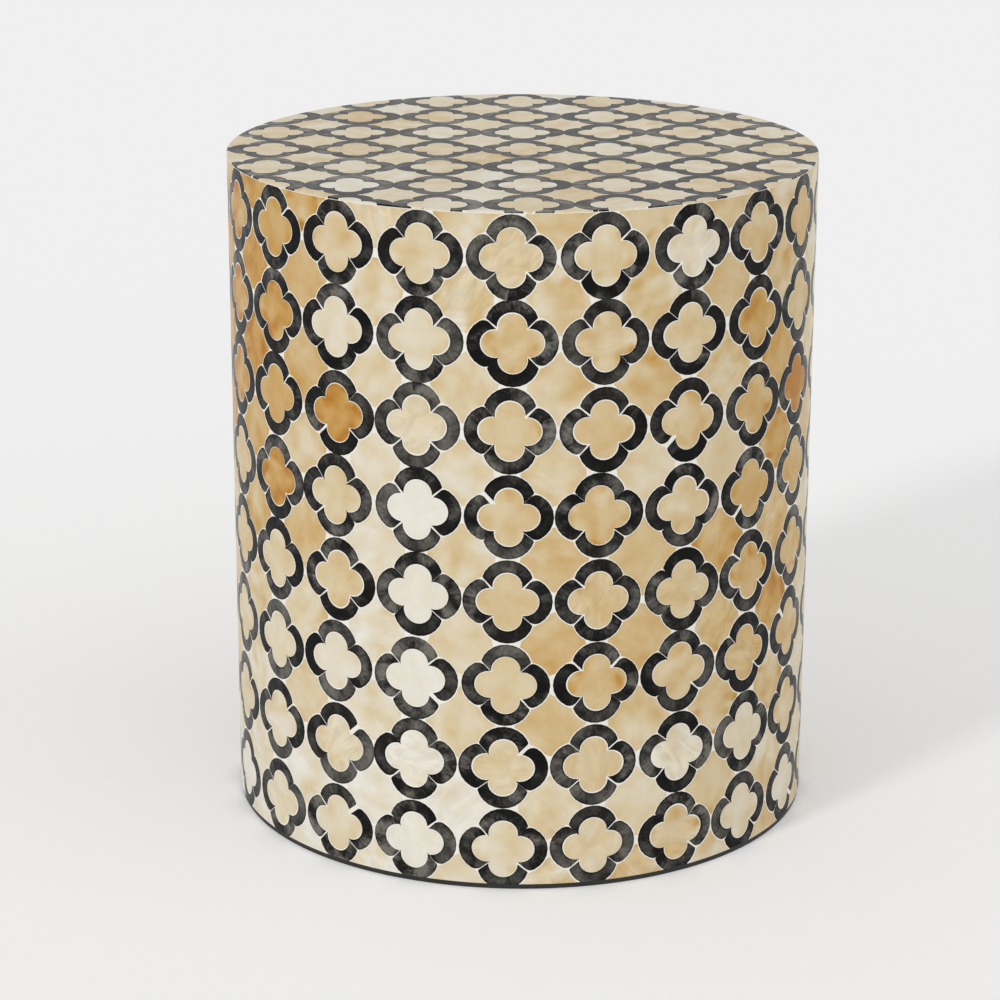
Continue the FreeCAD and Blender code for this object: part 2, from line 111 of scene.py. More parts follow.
# One quatrefoil, as shares of its pitch: a petal is round about two centres, inside and outside
inner_offset_share = 0.190
heart_lobe_share = 0.1615
petal_inner_share = 0.166
outer_offset_share = 0.211
petal_outer_share = 0.294

# How hand work strays: slips are the most sideways and up, sizes are shares, and no sliver under
# the least area is laid
side_slip = (1.0 * mm, 0.5 * mm)
top_slip = (0.3 * mm, 0.3 * mm)
foil_twist = math.radians(2)
least_foil, most_foil = 0.974, 1.0
heart_slip = (0.22 * mm, 0.22 * mm)
least_heart, most_heart = 0.966, 0.996
petal_slip = (0.1 * mm, 0.1 * mm)
least_filing, most_filing = 3 * mm, 5.5 * mm
upright_filing = 0.4
split_petals = 0.09
split_turn = 0.5
least_area = (2 * mm) ** 2

# Joints and tips, each kind with its share of the pieces added up, and its least and most width
contact = 0.02 * mm
petal_joints = (
    (0.26, contact, 2 * contact),
    (0.4, 0.25 * mm, 0.4 * mm),
    (0.86, 0.4 * mm, 0.8 * mm),
    (0.97, 0.8 * mm, 1.5 * mm),
    (1.0, 1.9 * mm, 2.8 * mm),
)
top_widest_joint = 0.15 * mm
joint_skew = math.radians(6)
joint_wedge = math.radians(3)
wedged_joint = 0.5 * mm
side_star_joint = (0.35 * mm, 0.75 * mm)
top_star_joint = (0.1 * mm, 0.25 * mm)
star_tips = (
    (0.6, 1.4 * mm, 3 * mm),
    (1.0, 3 * mm, 5 * mm),
)
side_tip_size, top_tip_size = 1, 0.45
upright_tip_size = 0.7
tip_slant = 0.25

# Tones: pale shell runs from white at 0 to amber at 1, black shell from black to grey. Cloud is how
# much a piece varies, stain how amber its patches are, and pearl how much it ripples
tone_kinds = ("tone", "cloud", "stain", "pearl")
pale_tone, pale_spread = 0.53, 0.08
palest, deepest = 0.1, 0.85
pale_cloud = (0.1, 0.28)
pale_stain = 0.75
stain_rarity = 2
pearl_rarity = 4
# paler shell gets more pearl, which where the paleness is painted sheen gives painted glints
white_pearl_and_glint = 0.5
heart_clouding = 0.8
black_kinds = (
    (0.25, 0.1, 0.25),
    (0.75, 0.35, 0.52),
    (1.0, 0.52, 0.7),
)
black_cloud = (0.4, 1)
# petals grow lighter where the shell patches are paler, which in the patch of painted sheen is
# painted sheen on the petals
black_sorting_and_sheen = 0.5
# the top is laid paler, with lighter petals, than the side: partly painted glare of the top seen at
# a low angle
top_tone_and_glare = -0.2

# Moods of hearts that stand out: least and most tone, clouds and stains
mood_tones = {
    "white": (0.06, 0.14, 0.1, 0),
    "pale": (0.2, 0.32, 0.2, 0),
    "amber": (0.74, 0.88, 0.3, 0.5),
    "brown": (0.94, 1, 0.3, 0.3),
}

# Hearts of the front that stand out, by row from the floor and column from the front. The white
# hearts in the column just left of the front are partly painted highlight
heart_moods = {
    (8, -4): "amber",
    (8, 2): "pale",
    (7, -4): "amber",
    (7, -3): "amber",
    (7, -2): "pale",
    (6, -4): "amber",
    (6, -2): "amber",
    (6, 4): "brown",
    (5, -3): "amber",
    (5, -1): "white",
    (4, -1): "white",
    (3, -1): "white",
    (2, 2): "pale",
    (2, 3): "pale",
    (1, -1): "white",
}

# Where the shell was sorted paler (below 0) or more amber: angle round from the front and its
# spread in degrees, height and its spread as shares of the drum, and how much. The paler patch
# just left of the front (-21) is partly painted sheen, the one at the right edge (81) is painted
# reflection, and the paler foot (0) is partly painted floor bounce
shell_and_sheen_patches = (
    (-21, 14, 0.4, 0.8, -0.35),
    (-66, 26, 0.85, 0.3, 0.38),
    (-64, 30, 0.1, 0.4, -0.24),
    (57, 16, 0.66, 0.3, 0.22),
    (81, 12, 0.7, 0.5, -0.3),
    (0, 1000, 0, 0.2, -0.16),
    (118, 24, 0.35, 0.35, 0.16),
    (165, 18, 0.6, 0.8, -0.3),
    (-140, 26, 0.65, 0.4, 0.2),
)

# Grain: the length of one unit, the shell it is cut from in units, and how it follows a petal
grain_unit = 10 * mm
grain_field = 90
band_radius = 12 * mm
petal_half_angle = math.radians(85)

# Facets: sizes that keep bent pieces round to the eye
strip_width = 4.5 * mm
half_lobe_steps = 5
petal_steps = 14
petal_overrun = math.radians(14)
filing_cuts = 3
star_steps = 6
drum_segments = 504
rim_facet = math.radians(2)
touch = 0.001 * mm
level_face = 0.5


# Cutting pieces of shell on the flat sheet
def arc(flat, centre, start, end, steps):
    # chain of edges from start to end, the short way round the centre
    first, last = start - centre, end - centre
    sweep = math.atan2(first.cross(last).z, first.dot(last))
    vert = flat.verts.new(start)
    made = bmesh.ops.spin(flat, geom=[vert], cent=centre, axis=UP, angle=sweep, steps=steps)
    return vert, made["geom_last"][0]


def turned(point, quarter):
    return Matrix.Rotation(QUARTER * quarter, 3, "Z") @ point


def cut(flat, point, outwards, clear=True):
    # cuts along a line through the point, square to outwards, and clears what lies past it
    everything = flat.verts[:] + flat.edges[:] + flat.faces[:]
    bmesh.ops.bisect_plane(
        flat, geom=everything, dist=touch, plane_co=point, plane_no=outwards, clear_outer=clear
    )


class Foil:
    """One quatrefoil as it was laid: where its centre came to lie, and its joints."""

    def __init__(self, centre, pitch, seed, slip, size, opening=1, widest_joint=math.inf):
        rng = random.Random(seed)
        self.pitch = pitch
        self.opening = opening
        slip = sideways(rng, slip)
        twist = rng.uniform(-1, 1) * foil_twist
        size *= rng.uniform(least_foil, most_foil)
        self.place = Matrix.Translation(centre + slip) @ Matrix.Rotation(twist, 4, "Z")
        self.place @= Matrix.Scale(size, 4)
        self.reach = pitch * petal_outer_share * size
        self.heart_size = rng.uniform(least_heart, most_heart)
        self.heart_slip = sideways(rng, heart_slip)
        self.joints = [new_joint(rng, widest_joint) for _ in range(4)]

    @property
    def centre(self):
        return self.place.translation

    def lobe(self, quarter):
        # the centre that the outside of a petal is round about
        return self.place @ turned(Vector((self.pitch * outer_offset_share, 0, 0)), quarter)

    def notch(self, quarter, reach):
        # where circles of this reach about two neighbouring lobes cross, outside the quatrefoil
        here, there = self.lobe(quarter), self.lobe(quarter + 1)
        middle = (here + there) / 2
        outwards = (middle - self.centre).normalized()
        return middle + outwards * math.sqrt(reach**2 - (here - there).length_squared / 4)


def sideways(rng, most):
    return Vector((rng.uniform(-1, 1) * most[0], rng.uniform(-1, 1) * most[1], 0))


def drawn(rng, kinds):
    # a value between the least and the most of one kind
    pick = rng.random()
    for share, least, most in kinds:
        if pick < share:
            return rng.uniform(least, most)


def new_joint(rng, widest):
    # half width, lean and wedge of the joint between two petals
    width = min(drawn(rng, petal_joints), widest)
    lean = rng.uniform(-1, 1) * joint_skew
    wedge = rng.uniform(0, 1) * joint_wedge if width > wedged_joint else 0
    return width / 2, lean, wedge


def heart_outline(flat, foil):
    lobe = foil.pitch * heart_lobe_share * foil.heart_size
    offset = foil.pitch * inner_offset_share * foil.heart_size
    # neighbouring lobes cross on the diagonal, at this far both ways
    reach = (offset + math.sqrt(2 * lobe**2 - offset**2)) / 2
    for quarter in range(4):
        centre = turned(Vector((offset, 0, 0)), quarter)
        tip = centre + turned(Vector((lobe, 0, 0)), quarter)
        low = turned(Vector((reach, -reach, 0)), quarter)
        high = turned(Vector((reach, reach, 0)), quarter)
        arc(flat, centre, low, tip, half_lobe_steps)
        arc(flat, centre, tip, high, half_lobe_steps)
    bmesh.ops.remove_doubles(flat, verts=flat.verts, dist=touch)
    bmesh.ops.contextual_create(flat, geom=flat.edges)
    bmesh.ops.scale(flat, vec=(foil.opening, 1, 1), verts=flat.verts)
    bmesh.ops.translate(flat, vec=foil.heart_slip, verts=flat.verts)
    bmesh.ops.transform(flat, matrix=foil.place, verts=flat.verts)


def file_round(flat, point, outwards, middle, reach, roundness):
    # files the corner round between a joint and the arc of this reach about the middle
    along = UP.cross(outwards)
    if along.dot(point) < 0:
        along = -along
    inside = point - outwards * roundness - middle
    reach -= roundness
    step = math.sqrt(inside.dot(along) ** 2 - inside.length_squared + reach**2)
    corner = middle + inside + along * (step - inside.dot(along))
    turn = outwards.rotation_difference(corner - middle)
    for number in range(1, filing_cuts + 1):
        share = number / (filing_cuts + 1)
        facing = Quaternion(turn.axis, turn.angle * share) @ outwards
        cut(flat, corner + facing * roundness, facing)


def petal_outline(flat, foil, quarter, slip, roundness, split=None):
    # a band about one lobe, filed off along the joints with its neighbours; split is the way to
    # the half that is cut away, 1 or -1 along Y, and the turn of that cut
    inner = foil.pitch * petal_inner_share
    outer = foil.pitch * petal_outer_share
    centre = Vector((foil.pitch * inner_offset_share, 0, 0))
    spread = QUARTER + petal_overrun
    start = Matrix.Rotation(-spread, 3, "Z") @ Vector((1, 0, 0))
    ends = [flat.verts.new(centre + start * inner), flat.verts.new(centre + start * outer)]
    edge = flat.edges.new(ends)
    bmesh.ops.spin(
        flat, geom=ends + [edge], cent=centre, axis=UP, angle=2 * spread, steps=petal_steps
    )
    halfway = (inner + outer) / 2
    inside = [vert for vert in flat.verts if (vert.co - centre).length < halfway]
    outside = [vert for vert in flat.verts if vert not in inside]
    further = foil.pitch * (outer_offset_share - inner_offset_share)
    bmesh.ops.translate(flat, vec=(further, 0, 0), verts=outside)
    narrowed = (foil.opening, 1, 1) if quarter % 2 == 0 else (1, foil.opening, 1)
    bmesh.ops.scale(flat, vec=narrowed, verts=inside)
    diagonal = Vector((1, 1, 0)).normalized()
    middle = halfway + centre.x * diagonal.x
    outer_centre = centre + Vector((further, 0, 0))
    for side, joint in ((1, foil.joints[quarter]), (-1, foil.joints[quarter - 1])):
        half_width, lean, wedge = joint
        outwards = Vector((-diagonal.x, side * diagonal.y, 0))
        point = Vector((diagonal.x, side * diagonal.y, 0)) * middle - outwards * half_width
        outwards = Matrix.Rotation(lean + side * wedge, 3, "Z") @ outwards
        cut(flat, point, outwards)
        file_round(flat, point, outwards, outer_centre, outer, roundness)
    if split:
        towards, turn = split
        radial = Matrix.Rotation(turn, 3, "Z") @ Vector((0, towards, 0))
        cut(flat, centre - radial * contact / 2, radial)
    shift = Matrix.Translation(slip) @ Matrix.Rotation(QUARTER * quarter, 4, "Z")
    bmesh.ops.transform(flat, matrix=foil.place @ shift, verts=flat.verts)


def star_outline(flat, foils, tips, joint):
    # foils run anticlockwise from the lower right; each tip is cut off at two widths, one for
    # the foil before it and one for the foil after
    starts, ends = [], []
    for number, (foil, tip) in enumerate(zip(foils, tips)):
        before = foils[number - 1].lobe(number)
        after = foil.lobe((number + 2) % 4)
        across = (after - before).normalized()
        outwards = across.cross(UP)
        half_gap = (after - before).length / 2
        points = []
        for lobe, way, beside, width in (
            (before, 1, foils[number - 1], tip[0]),
            (after, -1, foil, tip[1]),
        ):
            reach = beside.reach + joint
            aside = min(max(half_gap - width / 2, 0), reach)
            depth = math.sqrt(reach**2 - aside**2)
            points.append(lobe + across * way * aside - outwards * depth)
        ends.append(points[0])
        starts.append(points[1])
    chains = []
    for number, foil in enumerate(foils):
        first, second = (number + 2) % 4, (number + 1) % 4
        notch = foil.notch(second, foil.reach + joint)
        chains.append(arc(flat, foil.lobe(first), starts[number], notch, star_steps))
        end = ends[(number + 1) % 4]
        chains.append(arc(flat, foil.lobe(second), notch, end, star_steps))
    for (_, here), (there, _) in zip(chains, chains[1:] + chains[:1]):
        flat.edges.new((here, there))
    bmesh.ops.remove_doubles(flat, verts=flat.verts, dist=touch)
    bmesh.ops.contextual_create(flat, geom=flat.edges)


def trim_height(flat, low, high):
    if min(vert.co.y for vert in flat.verts) < low:
        cut(flat, Vector((0, low, 0)), Vector((0, -1, 0)))
    if flat.verts and max(vert.co.y for vert in flat.verts) > high:
        cut(flat, Vector((0, high, 0)), Vector((0, 1, 0)))


def trim_round(flat, limit):
    # cuts a piece off along short straights whose corners lie on the circle
    limit *= math.cos(rim_facet / 2)
    if max(vert.co.length for vert in flat.verts) < limit:
        return
    middle = sum((vert.co for vert in flat.verts), Vector())
    towards = math.atan2(middle.y, middle.x)
    angles = [math.atan2(vert.co.y, vert.co.x) - towards for vert in flat.verts]
    spread = max(abs(math.remainder(angle, 2 * math.pi)) for angle in angles)
    count = math.ceil(spread / rim_facet)
    for number in range(-count, count + 1):
        angle = towards + number * rim_facet
        outwards = Vector((math.cos(angle), math.sin(angle), 0))
        if flat.verts:
            cut(flat, outwards * limit, outwards)


def cut_strips(flat):
    # crosses the piece with lines that let it bend round the drum
    reach = [vert.co.x for vert in flat.verts]
    for number in range(math.ceil(min(reach) / strip_width), math.ceil(max(reach) / strip_width)):
        cut(flat, Vector((number * strip_width, 0, 0)), Vector((1, 0, 0)), clear=False)


class Laid:
    """The pieces of one group, gathered flat, with each piece's own grain and tones."""

    def __init__(self, sheet, trim):
        self.sheet = sheet
        self.trim = trim
        self.mesh = bmesh.new()
        self.grain = self.mesh.loops.layers.uv.new("grain")
        self.lie = self.mesh.loops.layers.uv.new("lie")
        self.tones = {kind: self.mesh.faces.layers.float.new(kind) for kind in tone_kinds}

    def add(self, flat, grain_at, lie_at, tones):
        # stretches the flat piece with its sheet, trims it, thickens it inwards and takes it in
        bmesh.ops.transform(flat, matrix=self.sheet, verts=flat.verts)
        self.trim(flat)
        if sum(face.calc_area() for face in flat.faces) < least_area:
            flat.free()
            return
        grown = bmesh.ops.extrude_face_region(flat, geom=flat.faces[:])["geom"]
        moved = [item for item in grown if isinstance(item, bmesh.types.BMVert)]
        bmesh.ops.translate(flat, verts=moved, vec=Vector((0, 0, -shell_thickness)))
        bmesh.ops.recalc_face_normals(flat, faces=flat.faces)
        if self.trim is trim_top:
            soften_rim(flat)
        piece = bpy.data.meshes.new("piece")
        flat.to_mesh(piece)
        flat.free()
        before = len(self.mesh.faces)
        self.mesh.from_mesh(piece)
        bpy.data.meshes.remove(piece)
        self.mesh.faces.ensure_lookup_table()
        back = self.sheet.inverted()
        for face in self.mesh.faces[before:]:
            for kind, layer in self.tones.items():
                face[layer] = tones[kind]
            for loop in face.loops:
                point = back @ loop.vert.co
                loop[self.grain].uv = grain_at(point)
                loop[self.lie].uv = lie_at(point)


def soften(mesh, arris):
    # sands edges a little round
    bmesh.ops.bevel(
        mesh,
        geom=arris,
        offset=rim_soften,
        segments=2,
        profile=0.5,
        affect="EDGES",
        material=-1,
    )


def soften_rim(flat):
    # softens a piece where it ends at the rim
    arris = []
    rim = drum_radius * math.cos(rim_facet / 2) - touch
    for edge in flat.edges:
        if all(vert.co.z > -touch and vert.co.length > rim for vert in edge.verts):
            arris.append(edge)
    if arris:
        soften(flat, arris)


def sheet_grain(rng, centre):
    # a piece's grain lies at its own angle and comes from its own part of the shell
    spin = Matrix.Rotation(rng.uniform(0, 2 * math.pi), 3, "Z")
    start = Vector((rng.uniform(0, grain_field), rng.uniform(0, grain_field), 0))
    return lambda point: ((spin @ (point - centre)) / grain_unit + start).to_2d()


def sheet_lie(centre):
    # how far from the middle of the piece
    return lambda point: ((point - centre) / grain_unit).to_2d()


def band_place(centre, middle):
    # angle along the band about the lobe, from its middle, and reach from the lobe's centre
    away = (centre - middle).to_2d().normalized()

    def at(point):
        arm = (point - centre).to_2d()
        return math.atan2(away.x * arm.y - away.y * arm.x, away.dot(arm)), arm.length

    return at


def petal_grain(rng, place):
    # a petal's grain follows the band: along it, and then across it
    start = Vector((rng.uniform(0, grain_field), rng.uniform(0, grain_field)))

    def at(point):
        angle, reach = place(point)
        return start + Vector((angle * band_radius, reach)) / grain_unit

    return at


def petal_lie(place, pitch):
    # from -1 to 1 along the petal, and from -1 to 1 across it
    inner = pitch * (inner_offset_share + petal_inner_share - outer_offset_share)
    outer = pitch * petal_outer_share
    return lambda point: (
        place(point)[0] / petal_half_angle,
        (2 * place(point)[1] - inner - outer) / (outer - inner),
    )


# Bending and finishing
def bend_round(mesh):
    for vert in mesh.verts:
        angle = vert.co.x / drum_radius
        reach = drum_radius + vert.co.z
        vert.co = Vector((reach * math.sin(angle), -reach * math.cos(angle), vert.co.y))


def lay_on_top(mesh):
    bmesh.ops.translate(mesh, verts=mesh.verts, vec=(0, 0, drum_height))


def round_shading(data, radius):
    # faces that lie on the drum's curve are lit as one round surface, level faces as they are
    normals = []
    for polygon in data.polygons:
        points = [data.vertices[index].co for index in polygon.vertices]
        curved = all(abs(point.to_2d().length - radius) < touch for point in points)
        for point in points:
            away = Vector((point.x, point.y, 0)).normalized()
            upright = abs(polygon.normal.z) < level_face
            normals.append(away if curved and upright else polygon.normal)
    data.normals_split_custom_set([tuple(normal) for normal in normals])


def finished(mesh, name, node, material, radius=None):
    data = bpy.data.meshes.new(name)
    mesh.to_mesh(data)
    mesh.free()
    if radius:
        for polygon in data.polygons:
            polygon.use_smooth = True
        round_shading(data, radius)
    data.materials.append(material)
    piece = bpy.data.objects.new(name, data)
    bpy.context.scene.collection.objects.link(piece)
    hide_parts(node)
    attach(piece, "root")


# Materials
def srgb(red, green, blue):
    # a colour as it is seen, 0 to 255, as the shader's linear one
    def linear(value):
        value /= 255
        return value / 12.92 if value <= 0.04045 else ((value + 0.055) / 1.055) ** 2.4

    return linear(red), linear(green), linear(blue), 1


class Finish:
    """A material under construction: its nodes and its shader."""

    def __init__(self, name):
        self.material = bpy.data.materials.new(name)
        self.material.use_nodes = True
        self.tree = self.material.node_tree
        self.shader = self.tree.nodes["Principled BSDF"]

    def feed(self, socket, value):
        if isinstance(value, bpy.types.NodeSocket):
            self.tree.links.new(value, socket)
        else:
            socket.default_value = value

    def set(self, **values):
        for name, value in values.items():
            socket = name.replace("_", " ").title().replace("Ior", "IOR")
            self.feed(self.shader.inputs[socket], value)

    def add(self, kind, inputs, output=0, **settings):
        node = self.tree.nodes.new("ShaderNode" + kind)
        for name, value in settings.items():
            setattr(node, name, value)
        for name, value in inputs.items():
            self.feed(node.inputs[name], value)
        return node.outputs[output]

    def attribute(self, name):
        return self.add("Attribute", {}, "Fac", attribute_name=name)

    def grain(self, along=1, across=1):
        # place on the piece's own grain, where a smaller scale draws the pattern out
        place = self.add("UVMap", {}, uv_map="grain")
        return self.add("Mapping", {"Vector": place, "Scale": (along, across, 1)})

    def solid(self, x=1, y=1, z=1):
        place = self.add("TexCoord", {}, "Object")
        return self.add("Mapping", {"Vector": place, "Scale": (x, y, z)})

    def noise(self, place, scale=1, detail=2, roughness=0.5, distortion=0):
        inputs = {
            "Vector": place,
            "Scale": scale,
            "Detail": detail,
            "Roughness": roughness,
            "Distortion": distortion,
        }
        return self.add("TexNoise", inputs, "Fac")

    def sum(self, *terms):
        total = terms[0]
        for term in terms[1:]:
            total = self.add("Math", {0: total, 1: term}, operation="ADD")
        return total

    def product(self, first, second):
        return self.add("Math", {0: first, 1: second}, operation="MULTIPLY")

    def unsigned(self, value):
        return self.add("Math", {0: value}, operation="ABSOLUTE")

    def between(self, value, low, high, to_low=0, to_high=1):
        # what runs from low to high runs from to_low to to_high, and goes no further
        inputs = {
            "Value": value,
            "From Min": low,
            "From Max": high,
            "To Min": to_low,
            "To Max": to_high,
        }
        return self.add("MapRange", inputs)

    def ramp(self, value, *stops):
        node = self.tree.nodes.new("ShaderNodeValToRGB")
        self.feed(node.inputs["Fac"], value)
        elements = node.color_ramp.elements
        while len(elements) < len(stops):
            elements.new(0.5)
        for element, (place, colour) in zip(elements, stops):
            element.position = place
            element.color = srgb(*colour)
        return node.outputs["Color"]

    def bump(self, height, strength, distance):
        inputs = {"Height": height, "Strength": strength, "Distance": distance}
        self.feed(self.shader.inputs["Normal"], self.add("Bump", inputs))


def lacquer(finish):
    # thin clear coat, sanded flat and polished, is the gloss of all that lies under it
    finish.set(coat_weight=0.5, coat_roughness=0.06, coat_IOR=1.3, specular_IOR_level=0.0)


def pale_shell():
    finish = Finish("pale_shell")
    # clouds and bands through each piece
    broad = finish.noise(finish.grain(), scale=0.5, detail=1, distortion=0.2)
    bands = finish.noise(finish.grain(0.6, 1.1), scale=0.9, detail=0, distortion=0.4)
    speckle = finish.noise(finish.grain(), scale=1.8, distortion=0.2)
    drift = finish.sum(
        finish.between(broad, 0.32, 0.68, -0.5, 0.5),
        finish.between(bands, 0.32, 0.68, -0.3, 0.3),
    )
    drift = finish.product(drift, finish.attribute("cloud"))
    # amber stains, stronger away from the middle of a piece
    patch = finish.noise(
        finish.grain(1, 0.8), scale=0.9, detail=1, roughness=0.4, distortion=0.4
    )
    lie = finish.add("UVMap", {}, uv_map="lie")
    reach = finish.add("VectorMath", {0: lie}, "Value", operation="LENGTH")
    patch = finish.product(
        finish.between(patch, 0.5, 0.75, 0, 0.6), finish.between(reach, 0.6, 1.9, 0.1, 1.3)
    )
    stain = finish.product(patch, finish.attribute("stain"))
    shade = finish.sum(finish.attribute("tone"), drift, stain)
    shade = finish.sum(shade, finish.between(speckle, 0.3, 0.7, -0.03, 0.03))
    colour = finish.ramp(
        shade,
        (0.0, (243, 240, 230)),
        (0.2, (236, 227, 206)),
        (0.4, (228, 210, 173)),
        (0.6, (218, 189, 138)),
        (0.8, (208, 165, 95)),
        (1.0, (189, 127, 46)),
    )
    # pearly layers lie paler and darker by turns, partly painted glints of light off the nacre
    pearl = finish.attribute("pearl")
    layers = finish.noise(
        finish.grain(0.5, 1.1), scale=1.2, detail=1, roughness=0.4, distortion=1.8
    )
    lines = finish.product(finish.between(layers, 0.34, 0.66, -1, 1), pearl)
    lines = finish.between(lines, -1, 1, 0.92, 1.08)
    colour = finish.add("VectorMath", {"Vector": colour, "Scale": lines}, operation="SCALE")
    finish.set(base_color=colour, roughness=0.5)
    ripples = finish.noise(
        finish.grain(0.4, 1.2), scale=1.3, detail=1, roughness=0.4, distortion=0.8
    )
    ripples = finish.product(ripples, finish.between(pearl, 0, 1, 0.1, 1))
    finish.bump(ripples, strength=0.4, distance=1.2 * mm)
    lacquer(finish)
    return finish.material


def black_shell():
    finish = Finish("black_shell")
    # grey clouds and flames across the band
    broad = finish.noise(
        finish.grain(0.9, 0.9), scale=0.9, detail=1, roughness=0.4, distortion=0.2
    )
    flame = finish.noise(finish.grain(1.3, 0.8), scale=3.4, distortion=0.8)
    drift = finish.sum(
        finish.between(broad, 0.32, 0.68, -0.45, 0.45),
        finish.between(flame, 0.3, 0.7, -0.26, 0.26),
    )
    drift = finish.product(drift, finish.attribute("cloud"))
    # darker towards the ends and the edges
    lie = finish.add("UVMap", {}, uv_map="lie")
    along = finish.unsigned(finish.add("SeparateXYZ", {0: lie}, "X"))
    across = finish.unsigned(finish.add("SeparateXYZ", {0: lie}, "Y"))
    ends = finish.between(along, 0.65, 1, 0, -0.15)
    edges = finish.between(across, 0.6, 1, 0, -0.3)
    shade = finish.sum(finish.attribute("tone"), drift, ends, edges)
    colour = finish.ramp(
        shade,
        (0.0, (12, 12, 11)),
        (0.3, (31, 30, 28)),
        (0.55, (64, 62, 58)),
        (0.8, (95, 92, 86)),
        (1.0, (118, 115, 107)),
    )
    finish.set(base_color=colour, roughness=0.5)
    ripples = finish.noise(finish.grain(), scale=1.6, distortion=1)
    finish.bump(ripples, strength=0.3, distance=0.8 * mm)
    lacquer(finish)
    return finish.material


def joint_filler():
    finish = Finish("joint_filler")
    mottle = finish.noise(finish.solid(), scale=90, detail=3, roughness=0.6)
    colour = finish.ramp(mottle, (0.3, (244, 240, 230)), (0.7, (250, 248, 241)))
    finish.set(base_color=colour, roughness=0.5)
    finish.bump(finish.noise(finish.solid(), scale=700), strength=0.06, distance=0.1 * mm)
    lacquer(finish)
    return finish.material


def black_paint():
    finish = Finish("black_paint")
    wear = finish.noise(finish.solid(), scale=35, detail=4, roughness=0.6)
    colour = finish.ramp(wear, (0.3, (17, 17, 16)), (0.75, (34, 33, 31)))
    finish.set(base_color=colour, roughness=finish.between(wear, 0.3, 0.8, 0.42, 0.62))
    brush = finish.noise(finish.solid(), scale=900, detail=3)
    finish.bump(brush, strength=0.12, distance=0.15 * mm)
    return finish.material


def wood(name, light, dark, stretch, fine):
    # grain runs along the axis with the smallest scale
    finish = Finish(name)
    wander = finish.noise(finish.solid(*stretch), detail=5, roughness=0.6, distortion=1.2)
    fibres = finish.noise(finish.solid(*fine), detail=3, roughness=0.6)
    grain = finish.sum(finish.product(wander, 0.7), finish.product(fibres, 0.3))
    colour = finish.ramp(grain, (0.35, dark), (0.62, light))
    finish.set(base_color=colour, roughness=finish.between(fibres, 0.2, 0.8, 0.55, 0.75))
    finish.bump(fibres, strength=0.2, distance=0.15 * mm)
    return finish.material


def screw_steel():
    finish = Finish("screw_steel")
    brush = finish.noise(finish.solid(z=0.1), scale=2200)
    colour = finish.ramp(brush, (0.3, (172, 168, 156)), (0.7, (204, 201, 190)))
    roughness = finish.between(brush, 0.2, 0.8, 0.25, 0.42)
    finish.set(base_color=colour, metallic=1.0, roughness=roughness)
    finish.bump(brush, strength=0.08, distance=0.05 * mm)
    return finish.material


pale = pale_shell()
black = black_shell()
filler = joint_filler()
paint = black_paint()
plywood = wood("plywood", (214, 184, 140), (176, 136, 92), (8, 60, 300), (60, 900, 900))
bent_ply = wood("bent_ply", (218, 190, 148), (184, 148, 104), (50, 50, 5), (700, 700, 30))
softwood = wood("batten_wood", (224, 192, 142), (190, 146, 94), (70, 70, 5), (800, 800, 25))
steel = screw_steel()
carried_over = {
    "base_panel": paint,
    "lower_former": plywood,
    "middle_former": plywood,
    "upper_former": plywood,
    "top_board": plywood,
    "inner_ply": bent_ply,
    "outer_ply": bent_ply,
    "battens": softwood,
    "base_screws": steel,
    "lower_batten_screws": steel,
    "upper_batten_screws": steel,
    "top_screws": steel,
}
for node, material in carried_over.items():
    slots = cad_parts[node].data.materials
    slots.clear()
    slots.append(material)


# Where each quatrefoil lies on the two sheets
side_sheet = Matrix.Diagonal((side_stretch, 1, 1, 1))
top_sheet = Matrix.Translation(top_shift) @ Matrix.Rotation(top_turn, 4, "Z")
top_sheet @= Matrix.Diagonal((1, top_stretch, 1, 1))


def side_foil(level, column):
    # rows arch, dip and wander a little, and the row under the rim is laid small and low
    rng = random.Random(f"row {level}")
    angle = 2 * math.pi * column / side_columns
    arch = math.sin(math.pi * (level + 0.5) / side_rows)
    lean = pattern_start - row_lean * (side_rows - 1 - level) + rng.uniform(-1, 1) * row_wander
    across = (lean + column_pitch * column + column_spread * math.sin(angle)) / side_stretch
    height = row_pitch * (level + 0.5) + pattern_lift
    height += row_arch * arch - row_dip * arch**2 * math.sin(2 * angle)
    size = 1.0
    if level >= side_rows - 1:
        height -= rim_row_drop
        size = rim_row_size
    seed = f"side {level} {column % side_columns}"
    return Foil(Vector((across, height, 0)), row_pitch, seed, side_slip, size)


def top_foil(across, along):
    centre = Vector((across * top_pitch, along * top_pitch, 0))
    seed = f"top {across} {along}"
    return Foil(
        centre, top_pitch, seed, top_slip, top_foil_size, top_opening, top_widest_joint
    )


def corners(foil_at, first, second, right, up):
    # the four quatrefoils round a star, anticlockwise from the lower right
    steps = (right, (1, 1), up, (0, 0))
    return [foil_at(first + step[0], second + step[1]) for step in steps]


def trim_side(flat):
    trim_height(flat, side_base, side_top - rim_joint)
    if flat.verts:
        cut_strips(flat)


def trim_top(flat):
    trim_round(flat, drum_radius)


# Sorting and laying the pieces
def sorted_and_sheen_shade(centre):
    # how much more amber than usual the shell is there on the side; some paler patches are painted
    # sheen, painted reflection and painted floor bounce
    angle = math.degrees(centre.x * side_stretch / drum_radius)
    total = 0
    for towards, spread, height, rise, amount in shell_and_sheen_patches:
        aside = math.remainder(angle - towards, 360) / spread
        above = (centre.y / drum_height - height) / rise
        total += amount * math.exp(-(aside**2) - above**2)
    return total


